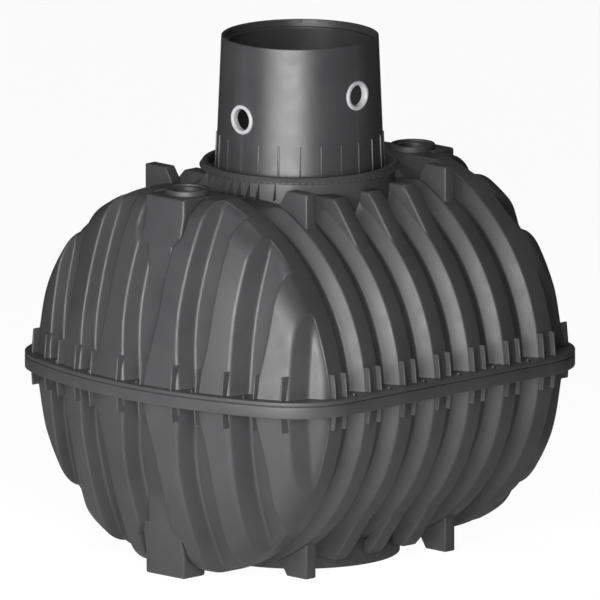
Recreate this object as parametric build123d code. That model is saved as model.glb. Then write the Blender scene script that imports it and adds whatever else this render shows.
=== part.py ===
from build123d import *
import math
import os

# Underground septic tank: two ribbed half shells joined at a flange, with an access neck on top.
# X runs along the tank, the front end faces -X, the right side faces -Y. Origin: centre of the tank on the ground.

# Overall sizes, mm
tank_length = 2280.0        # over the flange
tank_width = 1985.0         # over the flange
total_height = 2430.0       # ground to the rim of the neck
axis_height = 908.0         # ground to the middle plane, and from there to the top of the lifting lugs
crown_height = 872.0        # middle plane to the top of the hoops
crest_setback = 62.5        # edge of the flange to the crest of a hoop, at the middle plane
wall = 10.0

# Flange and seam
flange_end_radius = 2096.0
flange_corner_radius = 366.0
flange_land = 192.0         # from the edge of the flange inwards, under the foot of the shell
flange_thickness = 18.0
seam_height = 926.0
seal_thickness = 4.0
seal_width = 30.0
seal_setback = 10.0
skirt_depth = 56.0
skirt_wall = 14.0

# Hoops of the barrel
hoop_depth = 70.0
hoop_run = 37.0             # slope of a hoop's flank, along the tank
hoop_crest = 90.0
hoop_pitch = 227.0
hoops_each_side = 2
segment_angle = 45.0        # where the crown of the barrel is parted from its side
shoulder_step_depth = 28.0
shoulder_step_run = 16.0

# Floor of the ends, between the pilasters
end_floor_setback = 153.0   # edge of the flange to the floor of the end
end_floor_radius = 1500.0   # in plan
end_floor_kink = 400.0      # height over the middle plane where the floor starts to lean
end_floor_lean = 24.4
end_floor_bend = 600.0

# Pilasters of the ends: inner and outer edge of the crest, how far it lies beyond the end's floor, its drop
# below the crown, the rounding at its top. The outer one's edges are measured inwards from the hoops' crest.
inner_pilasters = [(78.0, 258.0, 81.0, 0.0, 110.0),
                   (403.0, 529.0, 4.0, 137.0, 130.0)]
outer_pilaster = (229.0, 107.0, -72.0, 472.0, 60.0)
pilaster_kink = 330.0
pilaster_lean = 18.0
pilaster_bend = 260.0
pilaster_flank = (180.0, 54.0)  # depth and run of a flank, down to below the floor

# End blocks: a head under the inspection port and a column below it
block_setback = 103.0       # floor of the end to the face of the head
block_head_half = 125.0
block_column_half = 78.0
block_head_foot = 640.0     # height over the middle plane where the head starts
block_column_setback = 62.0
block_column_top = 700.0
block_column_bottom = 560.0
block_start = 500.0

# Lifting lugs and feet
lug_thickness = 64.0
lug_outer = 528.0
lug_top_inner = 397.0
lug_foot_inner = 357.0
lug_shoulder_drop = 60.0

# Rib heads beside the collar: half width of the tank and height over the middle plane
head_start = (690.0, 560.0)
head_knee = (528.0, 813.0)
head_lip = (490.0, 853.0)
head_inner = 330.0

# Collar and lock ring on top, ring under the floor
collar_radius = 440.0
collar_wall = 12.0
collar_top = 1800.0
ledge_width = 24.0
ledge_thickness = 14.0
ledge_top = 1772.0
lock_ring_radius = 462.0
lock_ring_skirt = 14.0
lock_ring_cap = 16.0
lock_ring_bore = 430.0
base_ring_radius = 462.0
base_ring_wall = 12.0

# Neck
neck_base_radius = 391.0
neck_top_radius = 364.5
neck_wall = 10.0
neck_foot_thickness = 14.0
neck_foot_clearance = 2.0
neck_socket_radius = 352.0
neck_socket_depth = 34.0
neck_socket_ledge = 14.5
neck_socket_ledge_thickness = 10.0
neck_rib_count = 24
neck_rib_width = 9.0
neck_rib_height = 5.0
neck_rib_top = 1975.0
neck_seal_width = 30.0
neck_seal_height = 12.0

# Pipe seals in the neck and inspection ports on the ends
pipe_seal_radius = 69.0
pipe_seal_groove = 61.0
pipe_radius = 50.0
pipe_seal_proud = 9.0
pipe_seal_inside = 22.0
front_pipe_drop = 349.0     # below the rim of the neck
right_pipe_drop = 236.0
port_setback = 147.0        # face of a block's head to the middle of the port
port_radius = 104.0
port_bore = 62.0
port_top = 1812.0

# Gussets between the crests and the flange
gusset_height = 112.0
gusset_thickness = 9.0
gusset_foot = 40.0
gusset_tip = 23.0
gusset_inset = 9.0

crest_half_width = tank_width / 2 - crest_setback
end_floor_reach = tank_length / 2 - end_floor_setback
block_reach = end_floor_reach - block_setback
block_column_reach = end_floor_reach - block_column_setback
port_x = block_reach - port_setback
outer_edges = (crest_half_width - outer_pilaster[0], crest_half_width - outer_pilaster[1])
pilasters = inner_pilasters + [outer_edges + outer_pilaster[2:]]
front_pipe_height = total_height - front_pipe_drop
right_pipe_height = total_height - right_pipe_drop
crest_radius = (crest_half_width ** 2 + crown_height ** 2) / (2 * crown_height)
hoop_axis_height = axis_height + crown_height - crest_radius
valley_radius = crest_radius - hoop_depth
shoulder_x = (hoops_each_side + 1) * hoop_pitch
barrel_end = (hoops_each_side + 0.5) * hoop_pitch
upper_floor = seam_height + seal_thickness / 2 + flange_thickness
lower_ceiling = seam_height - seal_thickness / 2 - flange_thickness
mirrored_ceiling = 2 * axis_height - lower_ceiling
crown_z = axis_height + crown_height
neck_base = ledge_top + neck_foot_thickness
neck_slope = (neck_base_radius - neck_top_radius) / (total_height - neck_base)
middle_plane = Plane((0, 0, axis_height))
far = 1500.0


def block(x0, x1, y0, y1, z0, z1):
    return Pos((x0 + x1) / 2, (y0 + y1) / 2, (z0 + z1) / 2) * Box(x1 - x0, y1 - y0, z1 - z0)


def disc(radius, z0, z1, x=0.0):
    return Pos(x, 0, (z0 + z1) / 2) * Cylinder(radius, z1 - z0)


def tube(outer, inner, z0, z1, x=0.0):
    return disc(outer, z0, z1, x) - disc(inner, z0, z1, x)


def above(shape, height):
    return shape & block(-far, far, -far, far, height, 3 * far)


def flipped(shape):
    """The same shape in the lower half."""
    return mirror(shape, about=middle_plane)


def turned(outline):
    """A body whose outline of x and radius is turned about the axis of the hoops."""
    line = [(x, 0, hoop_axis_height + radius) for x, radius in outline]
    line += [(outline[-1][0], 0, hoop_axis_height), (outline[0][0], 0, hoop_axis_height)]
    return revolve(make_face(Polyline(*line, close=True)), Axis((0, 0, hoop_axis_height), (1, 0, 0)))


def prism_along_x(points, x0, x1):
    """An outline of y and height over the middle plane, pushed from x0 to x1."""
    line = Polyline(*[(x0, y, axis_height + height) for y, height in points], close=True)
    return extrude(make_face(line), x1 - x0, dir=(1, 0, 0))


def upright_face(points, y, rounds=()):
    """An outline of x and height over the middle plane, standing at y, with some of its corners rounded."""
    outline = make_face(Polyline(*points, close=True))
    for corner, radius in rounds:
        vertex = outline.vertices().sort_by_distance((*points[corner], 0))[0]
        outline = fillet(vertex, radius)
    return Plane((0, y, axis_height), (1, 0, 0), (0, -1, 0)) * outline


def prism_along_y(points, y0, y1, rounds=()):
    return extrude(upright_face(points, y0, rounds), y1 - y0, dir=(0, 1, 0))


def flange_plan(inset, z0, z1):
    """The plan of the flange: straight sides, ends of one large arc and rounded corners."""
    half_length = tank_length / 2 - inset
    half_width = tank_width / 2 - inset
    end_radius = flange_end_radius - inset
    corner_radius = flange_corner_radius - inset
    corner_y = half_width - corner_radius
    reach = math.sqrt((end_radius - corner_radius) ** 2 - corner_y ** 2)
    corner_x = half_length - end_radius + reach
    turn = math.atan2(corner_y, reach)
    angles = (turn, (turn + math.pi / 2) / 2, math.pi / 2)
    corner = [(corner_x + corner_radius * math.cos(a), corner_y + corner_radius * math.sin(a)) for a in angles]
    join_x, join_y = corner[0]
    outline = []
    for side in (1, -1):
        for hand in (1, -1):
            outline.append(ThreePointArc(*[(side * x, hand * y) for x, y in corner]))
        outline.append(ThreePointArc((side * join_x, join_y), (side * half_length, 0), (side * join_x, -join_y)))
        outline.append(Line((-corner_x, side * half_width), (corner_x, side * half_width)))
    return Pos(0, 0, z0) * extrude(make_face(outline), z1 - z0)


def hoop_outline(centre, inset):
    """One hoop as points of x and radius, for the outer face or for a face inset from it."""
    shift = inset * math.tan(math.atan2(hoop_depth, hoop_run) / 2)
    crest = hoop_crest / 2 - shift
    foot = crest + hoop_run
    low = valley_radius - inset
    high = crest_radius - inset
    return [(centre - foot, low), (centre - crest, high), (centre + crest, high), (centre + foot, low)]


def barrel_core(inset):
    low = valley_radius - inset
    outline = [(-barrel_end, low)]
    for count in range(-hoops_each_side, hoops_each_side + 1):
        outline += hoop_outline(count * hoop_pitch, inset)
    return turned(outline + [(barrel_end, low)])


def end_floor(inset):
    """The floor of an end: an arc in plan, upright and then leaning in."""
    reach = end_floor_reach - inset
    radius = end_floor_radius - inset
    side = crest_half_width + flange_land
    edge = reach - radius + math.sqrt(radius ** 2 - side ** 2)
    arc = ThreePointArc((edge, -side), (reach, 0), (edge, side))
    plan = make_face([arc, *Polyline((edge, side), (0, side), (0, -side), (edge, -side)).edges()])
    lean = math.radians(end_floor_lean)
    kink = end_floor_kink - inset * math.tan(lean / 2)
    top = reach - (far - kink) * math.tan(lean)
    section = [(0, 0), (reach, 0), (reach, kink), (top, far), (0, far)]
    upright = prism_along_y(section, -side, side, [(2, end_floor_bend - inset)])
    return Pos(0, 0, axis_height) * extrude(plan, far) & upright


def pilaster(inner, outer, rise, drop, rounding, inset):
    """A flat upright rib of an end, with drafted flanks, leaning in above its kink."""
    depth, run = pilaster_flank
    shift = inset * math.tan(math.atan2(depth, run) / 2)
    lean = math.radians(pilaster_lean)
    reach = end_floor_reach + rise - inset
    top = crown_height - drop - inset
    kink = pilaster_kink - inset * math.tan(lean / 2)
    head = reach - (top - kink) * math.tan(lean)
    section = [(barrel_end, 0), (reach, 0), (reach, kink), (head, top), (barrel_end, top)]
    rounds = [(3, rounding)]
    if top - kink > 2 * rounding:
        rounds.append((2, pilaster_bend))
    near = upright_face(section, inner + shift, rounds)
    distant = upright_face(section, outer - shift, rounds)
    slope = math.hypot(depth, run)
    crest = extrude(near, outer - inner - 2 * shift, dir=(0, 1, 0))
    inner_flank = extrude(near, slope, dir=(-depth, -run, 0))
    outer_flank = extrude(distant, slope, dir=(-depth, run, 0))
    return crest + inner_flank + outer_flank


def end_core(inset):
    """The filled form of the rear end, from the last valley of the barrel outwards."""
    high = crest_radius - inset
    step_shift = inset * math.tan(math.atan2(shoulder_step_depth, shoulder_step_run) / 2)
    step_x = shoulder_x + hoop_crest / 2 - step_shift
    outline = [(barrel_end, valley_radius - inset), *hoop_outline(shoulder_x, inset)[:2], (step_x, high),
               (step_x + shoulder_step_run, high - shoulder_step_depth)]
    shoulder = turned(outline)
    round_end = turned([(barrel_end, high), (far, high)])
    low_end = turned([(barrel_end, high - shoulder_step_depth), (far, high - shoulder_step_depth)])
    core = shoulder + (end_floor(inset) & low_end)
    for number, sizes in enumerate(pilasters):
        rib = pilaster(*sizes, inset) & round_end
        if number == 0:
            room = block_head_half + inset
            foot = axis_height + block_head_foot - inset
            rib -= block(0, far, -room, room, foot, 2 * far)
        core += rib
        core += mirror(rib, about=Plane.XZ)
    return core & block(barrel_end, far, -far, far, axis_height, 2 * far)


def end_block(top):
    """Head and column of an end block, up to a height over the middle plane."""
    step_x = shoulder_x + hoop_crest / 2
    kink = (block_reach, crown_height)
    head = [(step_x, block_head_foot), (block_column_reach, block_head_foot),
            (block_column_reach, block_column_top), kink, (block_reach, top), (step_x, top)]
    if top == crown_height:
        head.remove(kink)
    floor_lean = math.tan(math.radians(end_floor_lean))
    start_x = end_floor_reach - (block_start - end_floor_kink) * floor_lean
    column = [(step_x, block_start), (start_x, block_start), (block_column_reach, block_column_bottom),
              (block_column_reach, block_head_foot), (step_x, block_head_foot)]
    return (prism_along_y(head, -block_head_half, block_head_half)
            + prism_along_y(column, -block_column_half, block_column_half))


def lug(x):
    """Lifting lug or foot on the crest of a hoop, on the left side."""
    section = [(lug_outer, head_start[1]), (lug_outer, axis_height), (lug_top_inner, axis_height),
               (lug_foot_inner, axis_height - lug_shoulder_drop), (lug_foot_inner, head_start[1])]
    half = lug_thickness / 2
    return prism_along_x(section, x - half, x + half) - turned([(x - hoop_pitch, crest_radius),
                                                                (x + hoop_pitch, crest_radius)])


def rib_head(x, ring_radius):
    """The end of a hoop where it rises to the collar, on the left side."""
    section = [head_start, head_knee, head_lip, (head_inner, head_lip[1]), (head_inner, head_start[1])]
    half = hoop_crest / 2
    head = prism_along_x(section, x - half, x + half)
    head -= turned([(x - hoop_pitch, crest_radius), (x + hoop_pitch, crest_radius)])
    return head - disc(ring_radius, 0, 2 * far)


def gusset_outline(crest, start):
    """A gusset that stands on the flange at a height over the middle plane, against a crest."""
    end = start + gusset_height
    return [(crest - hoop_depth / 2, start), (crest + gusset_foot, start), (crest + gusset_tip, end),
            (crest - hoop_depth / 2, end)]


def gussets(start):
    """All gussets of one half, two to a crest."""
    offset = hoop_crest / 2 - gusset_inset
    half = gusset_thickness / 2
    barrel = turned([(-shoulder_x - hoop_pitch, crest_radius), (shoulder_x + hoop_pitch, crest_radius)])
    drop = crest_half_width - math.sqrt(crest_radius ** 2
                                        - (axis_height + start - hoop_axis_height) ** 2)
    room = flange_plan(skirt_wall, axis_height + start, axis_height + start + gusset_height)
    plates = []
    for count in range(-hoops_each_side - 1, hoops_each_side + 2):
        for edge in (-offset, offset):
            x = count * hoop_pitch + edge
            plate = prism_along_x(gusset_outline(crest_half_width - drop, start), x - half, x + half) - barrel
            plates += [plate, mirror(plate, about=Plane.XZ)]
    for inner, outer, rise, drop, rounding in pilasters:
        reach = end_floor_reach + rise
        for y in (inner + gusset_inset, outer - gusset_inset):
            section = gusset_outline(reach, start)
            section[0] = (reach, start)
            section[-1] = (reach, start + gusset_height)
            plate = prism_along_y(section, y - half, y + half) & room
            for side in (plate, mirror(plate, about=Plane.XZ)):
                plates += [side, mirror(side, about=Plane.YZ)]
    return Compound(children=[solid for plate in plates for solid in plate.solids()])


def neck_radius(height):
    return neck_base_radius - (height - neck_base) * neck_slope


def make_neck():
    """The tapering neck, with its foot, small upright ribs and the socket for the shaft."""
    foot_radius = collar_radius - collar_wall - neck_foot_clearance
    socket_floor = total_height - neck_socket_depth
    ledge_floor = socket_floor - neck_socket_ledge_thickness
    ledge_radius = neck_socket_radius - neck_socket_ledge
    outline = [(neck_base_radius - neck_wall, ledge_top), (foot_radius, ledge_top), (foot_radius, neck_base),
               (neck_base_radius, neck_base), (neck_top_radius, total_height),
               (neck_socket_radius, total_height), (neck_socket_radius, socket_floor),
               (ledge_radius, socket_floor), (ledge_radius, ledge_floor),
               (neck_radius(ledge_floor) - neck_wall, ledge_floor), (neck_base_radius - neck_wall, neck_base)]
    body = revolve(make_face(Polyline(*[(r, 0, z) for r, z in outline], close=True)), Axis.Z)
    top_radius = neck_radius(neck_rib_top)
    half = neck_wall / 2
    rib_line = [(neck_base_radius - half, neck_base), (neck_base_radius + neck_rib_height, neck_base),
                (top_radius + neck_rib_height, neck_rib_top), (top_radius - half, neck_rib_top)]
    face = make_face(Polyline(*[(r, -neck_rib_width / 2, z) for r, z in rib_line], close=True))
    rib = extrude(face, neck_rib_width, dir=(0, 1, 0))
    for count in range(neck_rib_count):
        body += Rot(0, 0, (count + 0.5) * 360 / neck_rib_count) * rib
    body -= pipe_plug(pipe_seal_groove, front_pipe_height, 180, 0, 2 * neck_wall)
    body -= pipe_plug(pipe_seal_groove, right_pipe_height, -90, 0, 2 * neck_wall)
    return body


def pipe_plug(radius, height, turn, proud, inside):
    """A round bar through the wall of the neck, at a height and a turn about the neck."""
    surface = neck_radius(height)
    length = proud + inside if proud else inside + far / 10
    middle = surface + proud - length / 2 if proud else surface - inside + length / 2
    return Rot(0, 0, turn) * Pos(middle, 0, height) * Rot(0, 90, 0) * Cylinder(radius, length)


def pipe_seal(height, turn, neck):
    """A grommet for a pipe, seated in its hole in the neck."""
    ring = pipe_plug(pipe_seal_radius, height, turn, pipe_seal_proud, pipe_seal_inside)
    ring -= pipe_plug(pipe_radius, height, turn, 2 * pipe_seal_proud, 2 * pipe_seal_inside)
    return ring - neck


nodes = {}

# Flange and seam
nodes["upper_flange"] = (flange_plan(0, upper_floor - flange_thickness, upper_floor)
                         - flange_plan(flange_land, upper_floor - flange_thickness, upper_floor))
plate_top = lower_ceiling + flange_thickness
nodes["lower_flange"] = (flange_plan(0, lower_ceiling, plate_top) - flange_plan(flange_land, lower_ceiling, plate_top)
                         + (flange_plan(0, plate_top - skirt_depth, lower_ceiling)
                            - flange_plan(skirt_wall, plate_top - skirt_depth, lower_ceiling)))
nodes["seam_seal"] = (flange_plan(seal_setback, plate_top, plate_top + seal_thickness)
                      - flange_plan(seal_setback + seal_width, plate_top, plate_top + seal_thickness))

# Barrel, parted in four segments above the seam and four below it
barrel_outer = barrel_core(0)
barrel_inner = barrel_core(wall)
barrel = barrel_outer - barrel_inner
upper_barrel = above(barrel, upper_floor) - disc(collar_radius, crown_z - axis_height, 2 * crown_z)
lower_barrel = flipped(above(barrel, mirrored_ceiling))
rise = far * math.tan(math.radians(segment_angle))
axis_drop = hoop_axis_height - axis_height
side_wedge = [(0, axis_drop), (far, axis_drop), (far, axis_drop + rise)]
crown_wedge = [(0, axis_drop), (far, axis_drop + rise), (0, 2 * far)]
for hand, sign in (("left", 1), ("right", -1)):
    for name, outline in (("side", side_wedge), ("crown", crown_wedge)):
        wedge = prism_along_x([(sign * y, height) for y, height in outline], -far, far)
        nodes[f"upper_{name}_{hand}"] = upper_barrel & wedge
        lower_name = "floor" if name == "crown" else name
        nodes[f"lower_{lower_name}_{hand}"] = lower_barrel & flipped(wedge)

# Ends, with the block under each inspection port and the foot below
end_outer = end_core(0)
end_shell = end_outer - end_core(wall)
port_hole = disc(port_bore, axis_height, 2 * crown_z, port_x)
upper_end = above(end_shell, upper_floor) - port_hole
lower_end = flipped(above(end_shell, mirrored_ceiling))
top_block = end_block(crown_height) - end_outer - port_hole
foot_block = flipped(end_block(axis_height) - end_outer)
port = tube(port_radius, port_bore, crown_z - hoop_depth, port_top, port_x) - end_outer - end_block(crown_height)
for end, shapes in (("rear", (upper_end, lower_end, top_block, foot_block, port)),
                    ("front", [mirror(shape, about=Plane.YZ)
                               for shape in (upper_end, lower_end, top_block, foot_block, port)])):
    nodes[f"upper_{end}_end"] = shapes[0]
    nodes[f"lower_{end}_end"] = shapes[1]
    nodes[f"{end}_top_block"] = shapes[2]
    nodes[f"{end}_foot_block"] = shapes[3]
    nodes[f"{end}_inspection_port"] = shapes[4]

# Lifting lugs, feet and the rib heads between them
lug_x = hoops_each_side * hoop_pitch
for end, x in (("rear", lug_x), ("front", -lug_x)):
    for hand, shape in (("left", lug(x)), ("right", mirror(lug(x), about=Plane.XZ))):
        nodes[f"lifting_lug_{end}_{hand}"] = shape
        nodes[f"foot_{end}_{hand}"] = flipped(shape)
for name, ring_radius in (("upper_rib_heads", collar_radius), ("lower_rib_heads", base_ring_radius)):
    heads = []
    for count in range(1 - hoops_each_side, hoops_each_side):
        head = rib_head(count * hoop_pitch, ring_radius)
        heads += [head, mirror(head, about=Plane.XZ)]
    heads = Compound(children=[solid for head in heads for solid in head.solids()])
    nodes[name] = heads if name == "upper_rib_heads" else flipped(heads)

nodes["upper_gussets"] = gussets(upper_floor - axis_height)
nodes["lower_gussets"] = flipped(gussets(mirrored_ceiling - axis_height))

# Collar, lock ring, neck and its seals
collar_bore = collar_radius - collar_wall
nodes["top_collar"] = (tube(collar_radius, collar_bore, axis_height, collar_top) - barrel_inner
                       + tube(collar_bore, collar_bore - ledge_width, ledge_top - ledge_thickness, ledge_top))
nodes["lock_ring"] = (tube(lock_ring_radius, lock_ring_bore, collar_top, collar_top + lock_ring_cap)
                      + tube(lock_ring_radius, collar_radius, collar_top - lock_ring_skirt, collar_top))
neck = make_neck()
nodes["neck"] = neck
nodes["neck_seal"] = tube(collar_bore, collar_bore - neck_seal_width, neck_base, neck_base + neck_seal_height)
nodes["front_pipe_seal"] = pipe_seal(front_pipe_height, 180, neck)
nodes["right_pipe_seal"] = pipe_seal(right_pipe_height, -90, neck)
nodes["base_ring"] = (tube(base_ring_radius, base_ring_radius - base_ring_wall, 0, axis_height)
                      - flipped(barrel_outer))

os.makedirs("parts", exist_ok=True)
for name, shape in nodes.items():
    export_step(shape, f"parts/{name}.step")
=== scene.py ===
# %% [markdown]
# A plastic septic tank is two ribbed half shells joined at a flange, with an access neck on top.
# The frame already holds every piece at its true place and size, so this lesson dresses it piece by
# piece.

# %% Load the frame
import math

import bmesh
import bpy
import numpy as np
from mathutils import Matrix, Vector


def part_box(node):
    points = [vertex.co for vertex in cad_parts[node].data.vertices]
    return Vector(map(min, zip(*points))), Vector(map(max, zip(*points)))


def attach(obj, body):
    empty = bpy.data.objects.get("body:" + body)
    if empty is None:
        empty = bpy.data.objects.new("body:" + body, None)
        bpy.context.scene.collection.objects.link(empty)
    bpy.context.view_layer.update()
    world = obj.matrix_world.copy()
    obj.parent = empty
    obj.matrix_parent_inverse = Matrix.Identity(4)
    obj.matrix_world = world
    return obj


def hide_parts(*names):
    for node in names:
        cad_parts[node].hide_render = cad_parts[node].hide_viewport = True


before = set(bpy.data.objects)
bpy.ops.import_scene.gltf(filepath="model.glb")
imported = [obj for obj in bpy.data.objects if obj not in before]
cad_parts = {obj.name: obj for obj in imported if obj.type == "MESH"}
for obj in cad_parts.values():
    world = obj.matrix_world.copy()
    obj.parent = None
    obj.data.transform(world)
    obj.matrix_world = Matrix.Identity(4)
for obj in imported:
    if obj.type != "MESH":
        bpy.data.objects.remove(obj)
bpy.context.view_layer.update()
print("nodes in the frame:", len(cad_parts))

# %% [markdown]
# The photograph is taken from far away, so an orthographic camera fits it. It stands 45 degrees off the
# front end, a little above the tank, and looks at a point on the tank's upright middle line.

# %% Camera
VIEW_AZIMUTH = math.radians(45)
VIEW_ELEVATION = math.radians(11.43)
VIEW_WIDTH = 2.775
CAMERA_DISTANCE = 12
LOOK_AT = Vector((0, 0, 1.176))


def direction(azimuth, elevation):
    """Unit vector from the tank outwards; azimuth 0 is the front end, 90 degrees the right side."""
    flat = math.cos(elevation)
    return Vector((-math.cos(azimuth) * flat, -math.sin(azimuth) * flat, math.sin(elevation)))


def aim(thing, azimuth, elevation, distance):
    """Places a camera or lamp that far from the point looked at and turns it there."""
    away = direction(azimuth, elevation)
    thing.location = LOOK_AT + away * distance
    thing.rotation_euler = away.to_track_quat("Z", "Y").to_euler()
    bpy.context.scene.collection.objects.link(thing)
    return thing


camera_data = bpy.data.cameras.new("camera")
camera_data.type = "ORTHO"
camera_data.ortho_scale = VIEW_WIDTH
camera = aim(bpy.data.objects.new("camera", camera_data), VIEW_AZIMUTH, VIEW_ELEVATION, CAMERA_DISTANCE)
bpy.context.scene.camera = camera
bpy.context.scene.view_settings.view_transform = "Standard"
print("camera at", [round(v, 2) for v in camera.location])

# %% [markdown]
# Moulded plastic is judged by its highlights. The neck of the photograph shows where its lamp stood: the
# bright stripe is narrow and a little left of the middle, so the key lamp is narrow and tall and stands a
# few degrees left of the camera. Two wide, soft lamps beside it lift the faces that look to the front. One
# of them casts no shadow, so that it reaches down the flanks of every hoop, as the light in the photograph
# does. The sky gives little light.

# %% Lamps and sky
LAMP_DISTANCE = 7
SKY_STRENGTH = 0.05


def area_lamp(name, azimuth, elevation, width, height, power):
    """An oval lamp; azimuth and elevation in degrees, as for the camera."""
    data = bpy.data.lights.new(name, "AREA")
    data.shape = "ELLIPSE"
    data.size = width
    data.size_y = height
    data.energy = power
    lamp = bpy.data.objects.new(name, data)
    return aim(lamp, math.radians(azimuth), math.radians(elevation), LAMP_DISTANCE)


area_lamp("key", 36, 17, 0.6, 4.0, 95)
area_lamp("soft_fill", 38, 12, 4.5, 4.0, 340)
area_lamp("valley_fill", 15, 10, 4.0, 4.0, 320).data.use_shadow = False
area_lamp("top_fill", 200, 70, 3.5, 3.5, 60)

world = bpy.data.worlds.new("studio")
bpy.context.scene.world = world
world.use_nodes = True
world.node_tree.nodes["Background"].inputs["Color"].default_value = (1, 1, 1, 1)
world.node_tree.nodes["Background"].inputs["Strength"].default_value = SKY_STRENGTH

# %% [markdown]
# Every finish is a small node tree on Object coordinates. Rotational moulding leaves plastic with a fine
# orange-peel grain and a slow drift in tone, so each tree has both: a broad noise for colour and gloss,
# and a fine one for bump. Sharp convex edges are made paler from the mesh's own pointiness: a painted
# highlight along the edges.

# %% Finishes


def link_noise(tree, scale, detail, source):
    noise = tree.nodes.new("ShaderNodeTexNoise")
    noise.inputs["Scale"].default_value = scale
    noise.inputs["Detail"].default_value = detail
    tree.links.new(source, noise.inputs["Vector"])
    return noise.outputs["Fac"]


def ramp(tree, source, low, high, positions=(0.35, 0.65)):
    """A colour ramp between two greys or colours."""
    node = tree.nodes.new("ShaderNodeValToRGB")
    for element, place, value in zip(node.color_ramp.elements, positions, (low, high)):
        element.position = place
        element.color = (*value, 1) if isinstance(value, tuple) else (value, value, value, 1)
    tree.links.new(source, node.inputs["Fac"])
    return node.outputs["Color"]


def moulded(name, dark, light, gloss, grain=620, grain_height=0.0009, edge=1.25):
    """Plastic or rubber: dark and light are the limits of its tone, gloss the limits of its roughness."""
    material = bpy.data.materials.new(name)
    material.use_nodes = True
    tree = material.node_tree
    shader = tree.nodes["Principled BSDF"]
    place = tree.nodes.new("ShaderNodeTexCoord").outputs["Object"]
    broad = link_noise(tree, 3.1, 5, place)
    tone = ramp(tree, broad, dark, light)
    # Sharp convex edges turn paler by pointiness, up to the factor edge: a painted highlight along the edges.
    pointed = tree.nodes.new("ShaderNodeNewGeometry").outputs["Pointiness"]
    painted_edge_highlight = ramp(tree, pointed, (1.0, 1.0, 1.0), (edge, edge, edge), (0.52, 0.60))
    mix = tree.nodes.new("ShaderNodeMix")
    mix.data_type = "RGBA"
    mix.blend_type = "MULTIPLY"
    mix.inputs["Factor"].default_value = 1
    tree.links.new(tone, mix.inputs["A"])
    tree.links.new(painted_edge_highlight, mix.inputs["B"])
    tree.links.new(mix.outputs["Result"], shader.inputs["Base Color"])
    tree.links.new(ramp(tree, link_noise(tree, 14, 3, place), *gloss), shader.inputs["Roughness"])
    bump = tree.nodes.new("ShaderNodeBump")
    bump.inputs["Distance"].default_value = grain_height
    bump.inputs["Strength"].default_value = 0.35
    tree.links.new(link_noise(tree, grain, 2, place), bump.inputs["Height"])
    tree.links.new(bump.outputs["Normal"], shader.inputs["Normal"])
    return material


shell_plastic = moulded("shell_plastic", (0.040, 0.040, 0.042), (0.050, 0.050, 0.052), (0.40, 0.50))
neck_plastic = moulded("neck_plastic", (0.036, 0.036, 0.038), (0.044, 0.044, 0.046), (0.30, 0.38))
seal_rubber = moulded("seal_rubber", (0.016, 0.016, 0.017), (0.024, 0.024, 0.025), (0.55, 0.7))
pale_rubber = moulded("pale_rubber", (0.38, 0.38, 0.39), (0.44, 0.44, 0.45), (0.45, 0.55), edge=1.1)
zinc = moulded("dull_zinc", (0.09, 0.09, 0.10), (0.14, 0.14, 0.15), (0.4, 0.5), edge=1.1)
zinc.node_tree.nodes["Principled BSDF"].inputs["Metallic"].default_value = 1
print("finishes:", [m.name for m in bpy.data.materials if m.users or m.use_nodes])

# %% [markdown]
# Every corner of a moulding is rounded, and the light shows it. One helper rounds the corners of any
# flat outline with true arcs, others turn arrays of points into faces, join meshes and cut holes, and one
# hands a finished mesh to the frame. Smooth shading stops at real edges only.

# %% Outlines and meshes


def rounded(outline, radius, closed=True, steps=4):
    """The outline with an arc in each corner, as large as the radius or the room allows."""
    points = [np.array(p, float) for p in outline]
    radii = radius if isinstance(radius, (list, tuple)) else [radius] * len(points)
    result = []
    for number, corner in enumerate(points):
        if not closed and number in (0, len(points) - 1):
            result.append(corner)
            continue
        before = points[number - 1] - corner
        after = points[(number + 1) % len(points)] - corner
        long_before, long_after = np.linalg.norm(before), np.linalg.norm(after)
        before, after = before / long_before, after / long_after
        half_turn = (math.pi - math.acos(np.clip(np.dot(before, after), -1, 1))) / 2
        reach = min(radii[number] * math.tan(half_turn), 0.45 * min(long_before, long_after))
        if reach < 1e-6:
            result.append(corner)
            continue
        weight = math.cos(half_turn)
        for t in np.linspace(0, 1, steps + 1):
            a, b, c = (1 - t) ** 2, 2 * weight * t * (1 - t), t ** 2
            start, end = corner + before * reach, corner + after * reach
            result.append((a * start + b * corner + c * end) / (a + b + c))
    return result


def grid_faces(rows, columns, close_rows=False, close_columns=False):
    """Quads over a grid of points that is stored row by row."""
    faces = []
    for row in range(rows if close_rows else rows - 1):
        for column in range(columns if close_columns else columns - 1):
            here, there = row * columns, (row + 1) % rows * columns
            following = (column + 1) % columns
            faces.append((here + column, here + following, there + following, there + column))
    return faces


def apply_modifiers(piece):
    """Bakes the piece's modifiers into a plain mesh."""
    depsgraph = bpy.context.evaluated_depsgraph_get()
    mesh = bpy.data.meshes.new_from_object(piece.evaluated_get(depsgraph))
    piece.modifiers.clear()
    piece.data = mesh
    return piece


def link_piece(name, mesh):
    """A new object in the scene that shows a mesh."""
    piece = bpy.data.objects.new(name, mesh)
    bpy.context.scene.collection.objects.link(piece)
    return piece


def make_mesh(name, points, faces, inside=None):
    """A merged mesh whose faces point outwards, or away from the point inside where it is open."""
    mesh = bpy.data.meshes.new(name)
    mesh.from_pydata([tuple(p) for p in points], [], faces)
    work = bmesh.new()
    work.from_mesh(mesh)
    bmesh.ops.remove_doubles(work, verts=work.verts, dist=0.0002)
    bmesh.ops.recalc_face_normals(work, faces=work.faces)
    if inside is not None:
        outward = sum(face.normal.dot(face.calc_center_median() - Vector(inside)) * face.calc_area()
                      for face in work.faces)
        if outward < 0:
            bmesh.ops.reverse_faces(work, faces=work.faces)
    work.to_mesh(mesh)
    work.free()
    return link_piece(name, mesh)


def join_into(piece, *others):
    """Adds the meshes of the others to the piece and removes them."""
    work = bmesh.new()
    work.from_mesh(piece.data)
    for other in others:
        work.from_mesh(other.data)
        bpy.data.objects.remove(other)
    work.to_mesh(piece.data)
    work.free()
    return piece


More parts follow.
